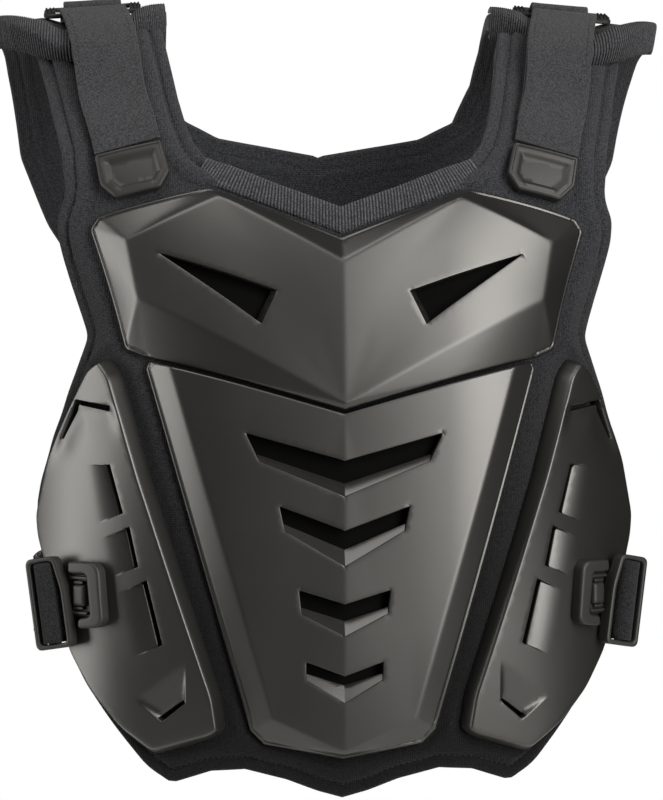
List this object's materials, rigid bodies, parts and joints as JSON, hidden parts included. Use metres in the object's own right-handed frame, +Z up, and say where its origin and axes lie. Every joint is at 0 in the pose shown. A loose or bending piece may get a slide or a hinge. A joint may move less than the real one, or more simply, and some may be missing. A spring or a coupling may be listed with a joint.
{
  "type": "body armor vest",
  "caption": "Sports body armor vest: padded front and back panels, faceted plastic chest, abdomen and side plates with vents, folded shoulder straps and side buckles.",
  "frame": {"origin": "shoulder seat: the point midway between the shoulders, level with the inside of the flaps' crest, where a wearer carries the vest", "axes": "+Z up, -Y out of the chest, +X to the wearer's left"},
  "size_m": [0.4132, 0.2645, 0.4836],
  "materials": {
    "pad": "matte woven cover over foam",
    "plate": "satin moulded plastic",
    "knit": "ribbed knit",
    "webbing": "woven webbing",
    "plastic": "satin moulded plastic"
  },
  "bodies": {
    "root": {"front_panel": "pad", "back_panel": "pad", "chest_plate": "plate", "abdomen_plate": "plate", "side_plate_left": "plate", "side_plate_right": "plate", "neck_band": "knit", "shoulder_band_left": "knit", "shoulder_band_right": "knit", "shoulder_strap_left": "webbing", "shoulder_strap_right": "webbing", "ring_keeper_left": "webbing", "ring_keeper_right": "webbing", "side_strap_left": "webbing", "side_strap_right": "webbing", "strap_tab_left": "plastic", "strap_tab_right": "plastic", "shoulder_ring_left": "plastic", "shoulder_ring_right": "plastic", "buckle_housing_left": "plastic", "buckle_housing_right": "plastic", "buckle_pin_left": "plastic", "buckle_pin_right": "plastic", "buckle_frame_left": "plastic", "buckle_frame_right": "plastic"}
  },
  "joints": []
}
